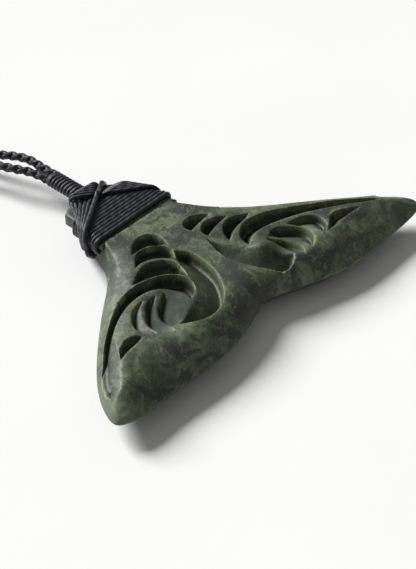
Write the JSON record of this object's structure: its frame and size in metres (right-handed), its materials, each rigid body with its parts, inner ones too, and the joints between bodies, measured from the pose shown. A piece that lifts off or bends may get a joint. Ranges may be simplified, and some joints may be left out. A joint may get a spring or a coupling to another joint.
{
  "type": "greenstone whale tail pendant on a plaited neck cord",
  "caption": "Carved greenstone pendant shaped as a whale's tail, bound with waxed thread to a plaited neck cord that a small barrel clasp closes.",
  "frame": {"origin": "on the flat land of the stone's back, on the pendant's axis", "axes": "+X across the flukes to the right, +Y along the stem towards the neck cord, +Z out of the carved face"},
  "size_m": [0.0786, 0.156, 0.0097],
  "materials": {
    "greenstone": "satin polished mottled green stone, a little translucent",
    "waxed_thread": "tight waxed thread with a dull sheen",
    "plaited_cord": "four-strand round plait of waxed thread",
    "clasp_metal": "satin turned metal"
  },
  "bodies": {
    "root": {"whale_tail": "greenstone", "stem_binding": "waxed_thread", "lashing_under": "waxed_thread", "lashing_over": "waxed_thread", "cord_whipping": "waxed_thread", "neck_cord_left": "plaited_cord", "neck_cord_right": "plaited_cord", "clasp": "clasp_metal"}
  },
  "joints": []
}
